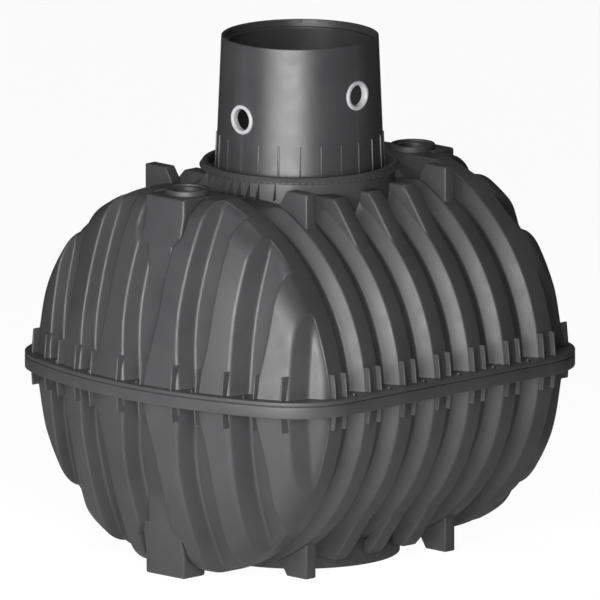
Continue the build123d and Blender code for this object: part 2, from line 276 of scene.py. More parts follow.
def circle_angles(count):
    return np.linspace(0, 2 * math.pi, count, endpoint=False)


def cut_away(piece, cutter):
    """Takes the cutter out of the piece and removes it."""
    modifier = piece.modifiers.new("hole", "BOOLEAN")
    modifier.operation = "DIFFERENCE"
    modifier.solver = "EXACT"
    modifier.object = cutter
    apply_modifiers(piece)
    bpy.data.objects.remove(cutter)
    return piece


def hand_over(piece, material, slot, *nodes, sharp=35):
    """Shades the piece, gives it its finish and puts it in the place of its nodes."""
    mesh = piece.data
    mesh.materials.clear()
    mesh.materials.append(material)
    mesh.shade_smooth()
    mesh.set_sharp_from_angle(angle=math.radians(sharp))
    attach(piece, "root")
    if nodes:
        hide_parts(*nodes)
    mesh.calc_loop_triangles()
    print(piece.name, len(mesh.loop_triangles), "triangles")
    return piece


def lathe(name, section, count=96, centre=(0, 0)):
    """A closed outline of radius and height turned about an upright line."""
    points = [(centre[0] + r * math.cos(a), centre[1] + r * math.sin(a), z)
              for a in circle_angles(count) for r, z in section]
    return make_mesh(name, points, grid_faces(count, len(section), True, True))


def add_solid(points, faces, loop, ends):
    """Adds a prism to lists of points and faces: a flat loop pushed between two placings of it."""
    start = len(points)
    count = len(loop)
    points += [place(p) for place in ends for p in loop]
    faces += [(start + i, start + (i + 1) % count, start + count + (i + 1) % count, start + count + i)
              for i in range(count)]
    faces += [tuple(range(start, start + count)), tuple(range(start + count, start + 2 * count))]


def bevel(piece, width, segments=3):
    """Rounds the edges of the piece."""
    modifier = piece.modifiers.new("edges", "BEVEL")
    modifier.width = width
    modifier.segments = segments
    modifier.limit_method = "ANGLE"
    modifier.angle_limit = math.radians(25)
    return apply_modifiers(piece)


# %% [markdown]
# The hoops of the barrel are one outline turned about a long, low axis. The sizes are the real ones, in
# metres: the hoops stand 70 mm proud, one every 227 mm, with flanks drafted so the shell leaves its mould.
# Their crowns are levelled where the collar and the ports stand. The lower half is the upper one mirrored
# about the middle plane. A hole is opened before the shell gets its wall: the faces inside it go, and the
# ragged edge is drawn onto the circle.

# %% Sizes of the shells
MIDDLE = 0.908
CROWN = 0.908
CREST_HALF_WIDTH = 0.930
WALL = 0.010
CREST_RADIUS = (CREST_HALF_WIDTH ** 2 + CROWN ** 2) / (2 * CROWN)
AXIS_DROP = CREST_RADIUS - CROWN
HOOP_DEPTH = 0.070
HOOP_RUN = 0.037
HOOP_CREST = 0.090
HOOP_PITCH = 0.227
VALLEY_RADIUS = CREST_RADIUS - HOOP_DEPTH
BARREL_END = 2.5 * HOOP_PITCH
SHOULDER = 3 * HOOP_PITCH
EDGE_ROUNDING = 0.014
FLAT_TOP = 0.878
HOOP_END = 0.20
HOOP_END_RUN = 0.20
TOP_REGION = MIDDLE + 0.6
COLLAR_RADIUS = 0.440
BASE_RING_RADIUS = 0.462
UPPER_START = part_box("upper_flange")[1].z - MIDDLE
LOWER_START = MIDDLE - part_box("lower_side_right")[1].z
HALVES = (("upper", 1, UPPER_START), ("lower", -1, LOWER_START))
ENDS = (("front", -1), ("rear", 1))
print("crest radius", round(CREST_RADIUS, 4), "starts", round(UPPER_START, 4), round(LOWER_START, 4))

# %% Barrel


def hoop(centre):
    """One hoop as points of x and radius."""
    crest = HOOP_CREST / 2
    foot = crest + HOOP_RUN
    return [(centre - foot, VALLEY_RADIUS), (centre - crest, CREST_RADIUS),
            (centre + crest, CREST_RADIUS), (centre + foot, VALLEY_RADIUS)]


def levelled(radius, angle):
    """Height over the middle plane of a point at a radius and an angle from upright."""
    return min(radius * math.cos(angle) - AXIS_DROP, FLAT_TOP)


def half_turn_points(outline, start, flip, shares):
    """Points of an outline of x and radius, turned from seam to seam; each radius ends on the seam.

    In the upper half the outermost hoops end at the lifting lugs, so that the collar stands free.
    """
    points = []
    for turn in shares:
        for x, radius in outline:
            angle = turn * math.acos((start + AXIS_DROP) / radius)
            y, height = radius * math.sin(angle), levelled(radius, angle)
            if flip == 1 and abs(x) > 1.5 * HOOP_PITCH:
                valley = math.sqrt(max(VALLEY_RADIUS ** 2 - y ** 2, 0)) - AXIS_DROP
                share = min(max((abs(y) - HOOP_END) / HOOP_END_RUN, 0), 1)
                height = valley + (height - valley) * share ** 2 * (3 - 2 * share)
            points.append((x, y, MIDDLE + flip * height))
    return points


def open_round(piece, radius, x=0.0):
    """Opens an upright round hole in the top of a shell that has no wall yet."""
    work = bmesh.new()
    work.from_mesh(piece.data)
    centre = Vector((x, 0))
    near = {v for v in work.verts if v.co.z > TOP_REGION and (v.co.xy - centre).length < radius}
    bmesh.ops.delete(work, geom=[f for f in work.faces if near.issuperset(f.verts)], context="FACES")
    for vertex in work.verts:
        away = vertex.co.xy - centre
        if vertex.co.z > TOP_REGION and away.length < radius:
            vertex.co.xy = centre + away.normalized() * radius
    work.to_mesh(piece.data)
    work.free()


def thicken(piece):
    """Gives an open shell its wall, inwards from its outer face."""
    modifier = piece.modifiers.new("wall", "SOLIDIFY")
    modifier.thickness = WALL
    modifier.offset = -1
    return apply_modifiers(piece)


barrel_outline = [(-BARREL_END, VALLEY_RADIUS)]
for count in range(-2, 3):
    barrel_outline += hoop(count * HOOP_PITCH)
barrel_outline.append((BARREL_END, VALLEY_RADIUS))
barrel_outline = rounded(barrel_outline, EDGE_ROUNDING, closed=False)
shares = np.linspace(-1, 1, 97)
for half, flip, start in HALVES:
    points = half_turn_points(barrel_outline, start, flip, shares)
    faces = grid_faces(len(shares), len(barrel_outline))
    barrel = make_mesh(half + "_barrel", points, faces, inside=(0, 0, MIDDLE))
    if half == "upper":
        open_round(barrel, COLLAR_RADIUS - 0.002)
    crown = "crown" if half == "upper" else "floor"
    segments = [f"{half}_{part}_{hand}" for part in ("side", crown) for hand in ("left", "right")]
    hand_over(thicken(barrel), shell_plastic, "tank_shell", *segments)

# %% [markdown]
# An end is a height field: for each point across and up, how far the shell reaches outwards. One smooth
# envelope carries all the crests. It was measured in the photograph, where each rib shows both of its edges
# once on the left and once on the right of the middle. The ribs widen towards the flange, because the
# mould leaves the shell upwards. The inner two also part round the block under the port.

# %% Envelope and floor of the ends
ENVELOPE = np.polyfit(np.linspace(0, 0.9, 10),
                      [1.110, 1.0935, 1.0765, 1.0585, 1.0365, 1.009, 0.9765, 0.937, 0.890, 0.833], 4)
ENVELOPE_PLAN = 1.8
VALLEY_DEPTH = 0.0896
VALLEY_STEPS = [(0, 0), (0.083, 0), (0.257, 0.0224), (0.382, 0.031), (0.554, 0.1026), (0.671, 0.114),
                (0.846, 0.215), (0.95, 0.27)]
EDGE_HEIGHTS = [0, 0.1, 0.2, 0.3, 0.4]
RIB_EDGES = [[0.050, 0.070, 0.088, 0.1025, 0.1095], [0.287, 0.270, 0.2505, 0.237, 0.230],
             [0.380, 0.387, 0.402, 0.409, 0.4085], [0.552, 0.545, 0.538, 0.532, 0.527],
             [0.655, 0.675, 0.688, 0.696, 0.698], [0.826, 0.820, 0.815, 0.812, 0.810]]
FLANK = 3.33
CORNER = 0.015
FLANK_TURN = math.atan(FLANK)
TANGENT = CORNER * math.tan(FLANK_TURN / 2)
CREST_KNUCKLE = 0.085
FLOOR_KNUCKLE = 0.032
BLOCK_HEIGHTS = [0.67, 0.73, 0.80, 0.9]
BLOCK_EDGES = [0.1095, 0.150, 0.150, 0.16]
RIM_EASE = 0.05
END_FACE = SHOULDER + HOOP_CREST / 2


def quarter_round(distance, radius):
    """How far a rounded edge falls away, a distance into its rounding."""
    inside = np.clip(distance, 0, radius)
    return radius - np.sqrt(radius ** 2 - inside ** 2)


def eased(rise):
    """The rise of a flank from a flat face, with a true fillet where it starts."""
    run = rise / FLANK + TANGENT
    end = CORNER * math.sin(FLANK_TURN)
    return np.where(run > end, rise, CORNER - np.sqrt(CORNER ** 2 - np.clip(run, 0, end) ** 2))


def warped(y, heights, rim_height):
    """Moves a column of the grid sideways so that it keeps its place beside the edges of the ribs."""
    still = 0 * heights
    straight = [0] + [edge[-1] for edge in RIB_EDGES] + [CREST_HALF_WIDTH]
    moved = [still] + [np.interp(heights, EDGE_HEIGHTS, edge) for edge in RIB_EDGES]
    moved.append(CREST_HALF_WIDTH + still)
    right = min(int(np.searchsorted(straight, abs(y))), len(straight) - 1)
    share = (abs(y) - straight[right - 1]) / (straight[right] - straight[right - 1]) if right else 0
    place = moved[right - 1] + (moved[right] - moved[right - 1]) * share if right else still
    return y + math.copysign(1, y) * (place - abs(y)) * np.clip((rim_height - heights) / RIM_EASE, 0, 1)


def end_reach(y, height):
    """How far an end reaches from the middle of the tank, at y across and a height over the middle plane."""
    side = np.abs(y)
    from_axis = np.maximum(np.hypot(y, height + AXIS_DROP), height + CREST_RADIUS - FLAT_TOP)
    profile = np.polyval(ENVELOPE, height)
    crest = profile - ENVELOPE_PLAN + np.sqrt(ENVELOPE_PLAN ** 2 - side ** 2)
    crest = crest - quarter_round(from_axis - (CREST_RADIUS - CREST_KNUCKLE), CREST_KNUCKLE)
    floor_fall = np.interp(side, *zip(*VALLEY_STEPS))
    reach = profile - VALLEY_DEPTH - floor_fall
    reach = reach - quarter_round(from_axis - (CREST_RADIUS - FLOOR_KNUCKLE), FLOOR_KNUCKLE)
    for number in (0, 2, 4):
        inner, outer = [np.interp(height, EDGE_HEIGHTS, RIB_EDGES[number + k]) for k in (0, 1)]
        if number == 0:
            inner = np.where(height > 0.5, np.interp(height, BLOCK_HEIGHTS, BLOCK_EDGES), inner)
        rib = crest - eased(FLANK * (inner - side)) - eased(FLANK * (side - outer))
        reach = reach + eased(rib - reach)
    return np.maximum(reach, END_FACE + 0.004)


# %% Columns and rows of the ends
COLUMN_GAP = 0.0022
STEPS_BACK = np.linspace(0, 1, 5)[1:-1]
PORT_X = 0.737
PORT_OPENING = 0.080
PORT_BORE = 0.062
seam_angle = math.acos((UPPER_START + AXIS_DROP) / CREST_RADIUS)
columns = list(CREST_RADIUS * np.sin(np.linspace(-seam_angle, seam_angle, 61)))
for number, edges in enumerate(RIB_EDGES):
    outwards = 1 if number % 2 else -1
    for side in (-1, 1):
        columns += list(side * (edges[-1] + outwards * np.linspace(-0.013, 0.050, 25)))
for side in (-1, 1):
    columns += list(side * np.linspace(0.098, 0.165, 22))
columns = sorted(columns)
kept = [columns[0]]
for y in columns[1:-1]:
    if y - kept[-1] > COLUMN_GAP and columns[-1] - y > COLUMN_GAP:
        kept.append(y)
end_columns = np.array(kept + [columns[-1]])
row_shares = np.sin(np.linspace(0, 1, 62) ** 0.93 * math.pi / 2)
shoulder_line = [(END_FACE, CREST_RADIUS), *hoop(SHOULDER)[1::-1], (BARREL_END, VALLEY_RADIUS)]
shoulder_line = rounded(shoulder_line, EDGE_ROUNDING, closed=False)
print("end grid:", len(end_columns), "by", len(row_shares) + len(shoulder_line))


def end_points(start, way, flip):
    """Points column by column: up the face, over the rim and back along the shoulder."""
    points = []
    rim_limit = math.acos((start + AXIS_DROP) / CREST_RADIUS)
    for y in end_columns:
        share = math.asin(y / CREST_RADIUS) / seam_angle
        rim_y = CREST_RADIUS * math.sin(share * rim_limit)
        rim_height = levelled(CREST_RADIUS, share * rim_limit)
        heights = start + (rim_height - start) * row_shares
        places = warped(rim_y, heights, rim_height)
        reach = end_reach(places, heights)
        points += [(way * x, v, MIDDLE + flip * h) for x, v, h in zip(reach, places, heights)]
        points += [(way * (reach[-1] + (END_FACE - reach[-1]) * step), rim_y, MIDDLE + flip * rim_height)
                   for step in STEPS_BACK]
        for x, radius in shoulder_line:
            angle = share * math.acos((start + AXIS_DROP) / radius)
            points.append((way * x, radius * math.sin(angle), MIDDLE + flip * levelled(radius, angle)))
    return points


rows = len(row_shares) + len(STEPS_BACK) + len(shoulder_line)
for end, way in ENDS:
    for half, flip, start in HALVES:
        name = f"{half}_{end}_shell"
        piece = make_mesh(name, end_points(start, way, flip), grid_faces(len(end_columns), rows),
                          inside=(way * BARREL_END, 0, MIDDLE))
        if half == "upper":
            open_round(piece, PORT_OPENING, way * PORT_X)
        hand_over(thicken(piece), shell_plastic, "tank_shell", f"{half}_{end}_end", sharp=50)

# %% [markdown]
# The flange, its skirt and the seam seal run round the tank along one plan: straight sides, ends of a
# single large arc and rounded corners. A section of inset and height is swept along it. Insetting an arc
# only changes its radius, so the corners stay true.

# %% Sweep along the plan of the flange
HALF_LENGTH = 1.140
HALF_WIDTH = 0.9925
END_RADIUS = 2.096
CORNER_RADIUS = 0.366
FLANGE_LAND = 0.192
SKIRT_WALL = 0.014


def plan_line(end_steps=14, corner_steps=14):
    """Points and outward directions of the flange's edge, all the way round."""
    corner_y = HALF_WIDTH - CORNER_RADIUS
    reach = math.sqrt((END_RADIUS - CORNER_RADIUS) ** 2 - corner_y ** 2)
    corner_x = HALF_LENGTH - END_RADIUS + reach
    turn = math.atan2(corner_y, reach)
    corner_angles = np.linspace(turn, math.pi / 2, corner_steps)[1:]
    quarter = [(HALF_LENGTH - END_RADIUS, 0, END_RADIUS, a) for a in np.linspace(0, turn, end_steps)]
    quarter += [(corner_x, corner_y, CORNER_RADIUS, a) for a in corner_angles]
    line = [(x + r * math.cos(a), y + r * math.sin(a), math.cos(a), math.sin(a)) for x, y, r, a in quarter]
    half = line + [(-x, y, -nx, ny) for x, y, nx, ny in reversed(line)]
    return half + [(x, -y, nx, -ny) for x, y, nx, ny in reversed(half)][1:-1]


def sweep_plan(name, section):
    """A closed section of inset and height, swept round the flange."""
    plan = plan_line()
    points = [(x - inset * nx, y - inset * ny, z) for x, y, nx, ny in plan for inset, z in section]
    return make_mesh(name, points, grid_faces(len(plan), len(section), True, True))


upper_top = MIDDLE + UPPER_START
upper_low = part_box("upper_flange")[0].z
lower_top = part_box("lower_flange")[1].z
skirt_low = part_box("lower_flange")[0].z
lower_ceiling = MIDDLE - LOWER_START
upper_section = rounded([(0, upper_low), (0, upper_top), (FLANGE_LAND, upper_top), (FLANGE_LAND, upper_low)],
                        [0.003, 0.005, 0, 0])
hand_over(sweep_plan("flange_upper", upper_section), shell_plastic, "tank_shell", "upper_flange")
lower_section = rounded([(0, skirt_low), (0, lower_top), (FLANGE_LAND, lower_top),
                         (FLANGE_LAND, lower_ceiling), (SKIRT_WALL, lower_ceiling), (SKIRT_WALL, skirt_low)],
                        [0.005, 0.003, 0, 0, 0.006, 0.003])
hand_over(sweep_plan("flange_lower", lower_section), shell_plastic, "tank_shell", "lower_flange")
seal_section = [(0.006, lower_top), (0.006, upper_low), (0.040, upper_low), (0.040, lower_top)]
hand_over(sweep_plan("seal_in_seam", seal_section), seal_rubber, "seam_rubber", "seam_seal")

# %% [markdown]
# Thin gussets stand in pairs where every hoop and pilaster meets the flange, above it and below it. They
# are flat plates with one slanting edge, so each is a short loop pushed to its thickness, and all of one
# half share a mesh. A fine bevel catches the light along them.

# %% Gussets
GUSSET_HEIGHT = 0.112
GUSSET_FOOT = 0.027
GUSSET_TIP = 0.015
GUSSET_THICKNESS = 0.009
GUSSET_INSET = 0.009
GUSSET_ROOT = 0.030


def gusset_loop(crest, start, flip):
    """Distance outwards and height of one gusset's corners."""
    end = start + GUSSET_HEIGHT
    return [(crest - GUSSET_ROOT, MIDDLE + flip * start), (crest + GUSSET_FOOT, MIDDLE + flip * start),
            (crest + GUSSET_TIP, MIDDLE + flip * end), (crest - GUSSET_ROOT, MIDDLE + flip * end)]


THICK = (-GUSSET_THICKNESS / 2, GUSSET_THICKNESS / 2)
for half, flip, start in HALVES:
    points, faces = [], []
    side_crest = math.sqrt(CREST_RADIUS ** 2 - (start + AXIS_DROP) ** 2)
    offset = HOOP_CREST / 2 - GUSSET_INSET
    for count in range(-3, 4):
        for edge in (-offset, offset):
            x = count * HOOP_PITCH + edge
            for hand in (-1, 1):
                add_solid(points, faces, gusset_loop(side_crest, start, flip),
                          [lambda p, x=x + t, hand=hand: (x, hand * p[0], p[1]) for t in THICK])
    for edges in RIB_EDGES:
        y = edges[0] + (edges[1] - edges[0]) * (start + GUSSET_HEIGHT / 2) / 0.1
        inwards = 1 if edges[0] < edges[-1] else -1
        reach = float(end_reach(np.array(y + inwards * 0.02), np.array(start)))
        y += inwards * GUSSET_INSET
        for hand in (-1, 1):
            for way in (-1, 1):
                add_solid(points, faces, gusset_loop(reach, start, flip),
                          [lambda p, y=hand * y + t, way=way: (way * p[0], y, p[1]) for t in THICK])
    plates = bevel(make_mesh(half + "_gusset_plates", points, faces), 0.0015, 1)
    hand_over(plates, shell_plastic, "tank_shell", half + "_gussets")

# %% [markdown]
# Lifting lugs, feet, rib heads and the blocks at the ends are solid-looking mouldings with wide, soft
# edges. Each is an outline pushed along the tank or across it and then bevelled. Their hidden sides run
# a little into the shell, as one moulding would.

# %% Lugs, feet and rib heads


def pushed(name, loop, ends, width, segments=4):
    """A bevelled prism: a flat loop pushed between two placings of it."""
    points, faces = [], []
    add_solid(points, faces, loop, ends)
    return bevel(make_mesh(name, points, faces), width, segments)


def across(x0, x1, hand, flip):
    """Placings of a loop of y and height over the middle plane, from x0 to x1."""
    return [lambda p, x=x: (x, hand * p[0], MIDDLE + flip * p[1]) for x in (x0, x1)]


LUG_HALF = 0.032
LUG_LOOP = [(0.528, 0.715), (0.528, 0.908), (0.397, 0.908), (0.357, 0.848), (0.357, 0.805)]
HEAD_LOOP = [(0.672, 0.560), (0.690, 0.590), (0.528, 0.813), (0.490, 0.853), (0.340, 0.853), (0.340, 0.800)]
for end, way in ENDS:
    lug_x = way * 2 * HOOP_PITCH
    for hand, side in ((-1, "right"), (1, "left")):
        for flip, kind in ((1, "lifting_lug"), (-1, "foot")):
            places = across(lug_x - LUG_HALF, lug_x + LUG_HALF, hand, flip)
            piece = pushed(f"{kind}_piece_{end}_{side}", LUG_LOOP, places, 0.007)
            hand_over(piece, shell_plastic, "tank_shell", f"{kind}_{end}_{side}")
half_crest = HOOP_CREST / 2
for flip, half, ring in ((1, "upper", COLLAR_RADIUS), (-1, "lower", BASE_RING_RADIUS)):
    heads = []
    for count in (-1, 0, 1):
        for hand in (-1, 1):
            x = count * HOOP_PITCH
            inner = math.sqrt(ring ** 2 - (abs(x) + half_crest) ** 2) - 0.004
            loop = [(max(y, inner), z) for y, z in HEAD_LOOP]
            heads.append(pushed("head", loop, across(x - half_crest, x + half_crest, hand, flip), 0.012))
    joined = join_into(*heads)
    joined.name = joined.data.name = half + "_heads"
    hand_over(joined, shell_plastic, "tank_shell", half + "_rib_heads")

# %% End blocks
BLOCK_HALF = 0.125
COLUMN_HALF = 0.078


def along(y0, y1, way, flip):
    """Placings of a loop of x and height over the middle plane, from y0 to y1."""
    return [lambda p, y=y: (way * p[0], y, MIDDLE + flip * p[1]) for y in (y0, y1)]


def bar_faces(count):
    """Faces of a round bar whose points are stored end by end."""
    return grid_faces(2, count, False, True) + [tuple(range(count)), tuple(range(count, 2 * count))]


def upright_bar(radius, x, count=96):
    """A cutter for an upright hole in the top."""
    points = [(x + radius * math.cos(a), radius * math.sin(a), z)
              for z in (MIDDLE + 0.4, MIDDLE + 1.2) for a in circle_angles(count)]
    return make_mesh("cutter", points, bar_faces(count))


COLUMN_LOOP = [(0.80, 0.470), (0.917, 0.470), (0.917, 0.664), (0.80, 0.664)]
for end, way in ENDS:
    for flip, kind, top in ((1, "top_block", 0.880), (-1, "foot_block", 0.908)):
        head_loop = [(0.742, 0.652), (0.9178, 0.652), (0.886, 0.800), (0.886, top), (0.742, top)]
        head = pushed("head", head_loop, along(-BLOCK_HALF, BLOCK_HALF, way, flip), 0.012)
        column = pushed("column", COLUMN_LOOP, along(-COLUMN_HALF, COLUMN_HALF, way, flip), 0.010)
        piece = join_into(head, column)
        piece.name = piece.data.name = f"{end}_{kind}_piece"
        if flip == 1:
            cut_away(piece, upright_bar(PORT_BORE, way * PORT_X))
        hand_over(piece, shell_plastic, "tank_shell", f"{end}_{kind}")

# %% [markdown]
# Everything round is turned from an outline of radius and height: the collar with its small fins, the lock
# ring, the neck seal, whose dark rubber lip up the collar's bore is painted shade in the gap to the neck,
# the inspection ports and the neck itself, whose rim is stepped to take a shaft.

# %% Turned pieces
COLLAR_BORE = 0.428
COLLAR_TOP = 1.826
LEDGE_RADIUS = 0.404
LEDGE_LOW, LEDGE_TOP = 1.758, 1.772
FIN_ANGLES = (-30, -19.5, -13, -6.5, 0, 6.5, 13, 19.5, 30)
FIN_HALF = 0.002
FIN_LOOP = [(0.436, 1.735), (0.492, 1.735), (0.443, 1.808), (0.436, 1.808)]
RING_LOW, RING_TOP, RING_RADIUS, RING_BORE = 1.812, 1.842, 0.464, 0.430
PORT_RADIUS = 0.104
PORT_LOW = 1.765
collar_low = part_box("top_collar")[0].z
NECK_LOW, NECK_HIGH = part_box("neck")[0].z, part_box("neck")[1].z
NECK_FOOT = NECK_LOW + 0.014
NECK_BASE_RADIUS = 0.391
NECK_TOP_RADIUS = 0.3645
NECK_WALL = 0.010


def neck_radius(height):
    """Outer radius of the neck, which tapers upwards."""
    taper = (NECK_BASE_RADIUS - NECK_TOP_RADIUS) / (NECK_HIGH - NECK_FOOT)
    return NECK_BASE_RADIUS - (height - NECK_FOOT) * taper


collar_section = rounded([(COLLAR_RADIUS, collar_low), (COLLAR_RADIUS, COLLAR_TOP), (COLLAR_BORE, COLLAR_TOP),
                          (COLLAR_BORE, LEDGE_TOP), (LEDGE_RADIUS, LEDGE_TOP), (LEDGE_RADIUS, LEDGE_LOW),
                          (COLLAR_BORE, LEDGE_LOW), (COLLAR_BORE, collar_low)], 0.002)
points, faces = [], []
for degrees in FIN_ANGLES + tuple(180 + angle for angle in FIN_ANGLES):
    turn = Vector((math.cos(math.radians(degrees)), math.sin(math.radians(degrees)), 0))
    beside = Vector((-turn.y, turn.x, 0)) * FIN_HALF
    add_solid(points, faces, FIN_LOOP, [lambda p, turn=turn, off=off: turn * p[0] + off + Vector((0, 0, p[1]))
                                        for off in (-beside, beside)])
collar = join_into(lathe("collar", collar_section, 128), make_mesh("fins", points, faces))
hand_over(collar, shell_plastic, "tank_shell", "top_collar")
ring_section = rounded([(COLLAR_RADIUS, RING_LOW), (RING_RADIUS, RING_LOW), (RING_RADIUS, 1.820),
                        (0.451, RING_TOP), (RING_BORE, RING_TOP), (RING_BORE, COLLAR_TOP),
                        (COLLAR_RADIUS, COLLAR_TOP)], [0.001, 0.002, 0.003, 0.005, 0.004, 0.001, 0.001])
lock_ring = lathe("lock_ring_body", ring_section, 128)
base_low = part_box("base_ring")[0].z
base_section = rounded([(BASE_RING_RADIUS, base_low), (BASE_RING_RADIUS, 0.245), (0.450, 0.245),
                        (0.450, base_low)], 0.004)
hand_over(lathe("ring_under_floor", base_section, 128), shell_plastic, "tank_shell", "base_ring")
# The seal's thin lip runs up the collar's bore to the top of the lock ring: dark rubber as painted shade in
# the gap round the neck.
seal_section = rounded([(0.4277, NECK_FOOT), (0.4297, 1.838), (0.4245, 1.838), (0.4225, 1.800),
                        (0.3925, 1.800), (0.3925, NECK_FOOT)], 0.001)
hand_over(lathe("seal_round_neck", seal_section, 96), seal_rubber, "seam_rubber", "neck_seal")
port_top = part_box("front_inspection_port")[1].z
for end, way in ENDS:
    section = rounded([(PORT_RADIUS, PORT_LOW), (PORT_RADIUS, port_top), (0.086, port_top),
                       (0.086, port_top - 0.010), (PORT_BORE, port_top - 0.010), (PORT_BORE, PORT_LOW)],
                      [0.001, 0.006, 0.004, 0.002, 0.004, 0.001])
    hand_over(lathe(f"{end}_port", section, 64, (way * PORT_X, 0)), shell_plastic, "tank_shell",
              f"{end}_inspection_port")

# %% Neck
SOCKET_RADIUS = 0.352
SOCKET_LEDGE = 0.3375
SOCKET_FLOOR = NECK_HIGH - 0.034
LEDGE_FLOOR = NECK_HIGH - 0.044
SEAL_SEAT = 0.061
SEALS = {"front": (2.081, 0.0), "right": (2.194, math.pi / 2)}
neck_section = rounded(
    [(NECK_BASE_RADIUS - NECK_WALL, NECK_LOW), (0.426, NECK_LOW), (0.426, NECK_FOOT),
     (NECK_BASE_RADIUS, NECK_FOOT), (NECK_TOP_RADIUS, NECK_HIGH), (SOCKET_RADIUS, NECK_HIGH),
     (SOCKET_RADIUS, SOCKET_FLOOR), (SOCKET_LEDGE, SOCKET_FLOOR), (SOCKET_LEDGE, LEDGE_FLOOR),
     (neck_radius(LEDGE_FLOOR) - NECK_WALL, LEDGE_FLOOR)],
    [0.001, 0.003, 0.004, 0.008, 0.004, 0.003, 0.002, 0.003, 0.002, 0.002])
neck = lathe("neck_body", neck_section, 192)


def pipe_point(azimuth, height, away, aside, rise):
    """A point seen along a pipe: away from the neck's axis, aside and over the pipe's own axis."""
    out = Vector((-math.cos(azimuth), -math.sin(azimuth), 0))
    side = Vector((-out.y, out.x, 0))
    return out * away + side * aside + Vector((0, 0, height + rise))


for height, azimuth in SEALS.values():
    points = [pipe_point(azimuth, height, away, SEAL_SEAT * math.cos(a), SEAL_SEAT * math.sin(a))
              for away in (0.2, 0.5) for a in circle_angles(48)]
    cut_away(neck, make_mesh("cutter", points, bar_faces(48)))

# %% [markdown]
# The pipe seals are rubber rings that grip the hole in the neck. Each is a rounded outline turned about
# the pipe's own axis, which lies flat, so the turning happens in a frame made of two directions.

# %% Pipe seals
for end, (height, azimuth) in SEALS.items():
    outline = rounded([(0.050, -0.022), (SEAL_SEAT, -0.022), (SEAL_SEAT, -0.003), (0.069, -0.003),
                       (0.069, 0.005), (0.064, 0.009), (0.054, 0.009), (0.050, 0.003)], 0.002)
    points = [pipe_point(azimuth, height, neck_radius(height) + proud, r * math.cos(a), r * math.sin(a))
              for a in circle_angles(64) for r, proud in outline]
    ring = make_mesh(f"{end}_seal_ring", points, grid_faces(64, len(outline), True, True))
    hand_over(ring, pale_rubber, "pipe_seal", f"{end}_pipe_seal")

# %% [markdown]
# Ribs, ticks and grips all stand in a ring. Geometry Nodes can do that once for all of them: a circle of
# points, one copy of a part on each, turned to face outwards. The copies are then made real, so the
# result is a plain mesh.

# %% A ring of copies


def start_tree(name, sockets):
    """A node tree with these inputs and one output, and the two nodes that stand for them."""
    tree = bpy.data.node_groups.new(name, "GeometryNodeTree")
    for socket, kind in sockets.items():
        tree.interface.new_socket(socket, in_out="INPUT", socket_type="NodeSocket" + kind)
    tree.interface.new_socket("Geometry", in_out="OUTPUT", socket_type="NodeSocketGeometry")
    return tree, tree.nodes.new("NodeGroupInput"), tree.nodes.new("NodeGroupOutput")


def run_tree(piece, tree, values):
    """Runs a tree on the piece, keeps the result and removes the part that was copied."""
    modifier = piece.modifiers.new("copies", "NODES")
    modifier.node_group = tree
    for item in tree.interface.items_tree:
        if item.in_out == "INPUT" and item.name in values:
            modifier[item.identifier] = values[item.name]
    apply_modifiers(piece)
    bpy.data.objects.remove(values["Part"])
    return piece


def ring_tree():
    sockets = {"Part": "Object", "Count": "Int", "Radius": "Float", "Height": "Float", "Finish": "Material"}
    tree, given, result = start_tree("ring_of_copies", sockets)
    circle = tree.nodes.new("GeometryNodeMeshCircle")
    lift = tree.nodes.new("ShaderNodeCombineXYZ")
    move = tree.nodes.new("GeometryNodeTransform")
    source = tree.nodes.new("GeometryNodeObjectInfo")
    place = tree.nodes.new("GeometryNodeInputPosition")
    flat = tree.nodes.new("ShaderNodeVectorMath")
    flat.operation = "MULTIPLY"
    flat.inputs[1].default_value = (1, 1, 0)
    face_out = tree.nodes.new("FunctionNodeAlignRotationToVector")
    face_out.axis = "X"
    face_out.pivot_axis = "Z"
    copies = tree.nodes.new("GeometryNodeInstanceOnPoints")
    real = tree.nodes.new("GeometryNodeRealizeInstances")
    finish = tree.nodes.new("GeometryNodeSetMaterial")
    wires = [(given.outputs["Count"], circle.inputs["Vertices"]),
             (given.outputs["Radius"], circle.inputs["Radius"]),
             (given.outputs["Height"], lift.inputs["Z"]),
             (circle.outputs["Mesh"], move.inputs["Geometry"]),
             (lift.outputs[0], move.inputs["Translation"]),
             (given.outputs["Part"], source.inputs["Object"]),
             (place.outputs[0], flat.inputs[0]),
             (flat.outputs[0], face_out.inputs["Vector"]),
             (move.outputs[0], copies.inputs["Points"]),
             (source.outputs["Geometry"], copies.inputs["Instance"]),
             (face_out.outputs[0], copies.inputs["Rotation"]),
             (copies.outputs[0], real.inputs[0]),
             (real.outputs[0], finish.inputs["Geometry"]),
             (given.outputs["Finish"], finish.inputs["Material"]),
             (finish.outputs[0], result.inputs[0])]
    for output, socket in wires:
        tree.links.new(output, socket)
    return tree


copies_tree = ring_tree()


def ring_of(name, part, count, radius, height, material):
    """Copies of a part in a ring; the part lies with +X outwards."""
    values = {"Part": part, "Count": count, "Radius": radius, "Height": height, "Finish": material}
    return run_tree(link_piece(name, bpy.data.meshes.new(name)), copies_tree, values)


def small_block(name, low, high, width, lean=0):
    """A bevelled block; lean moves its top outwards in x."""
    loop = [(low[0], low[2]), (high[0], low[2]), (high[0] + lean, high[2]), (low[0] + lean, high[2])]
    ends = [lambda p, y=y: (p[0], y, p[1]) for y in (low[1], high[1])]
    return pushed(name, loop, ends, width, 2)


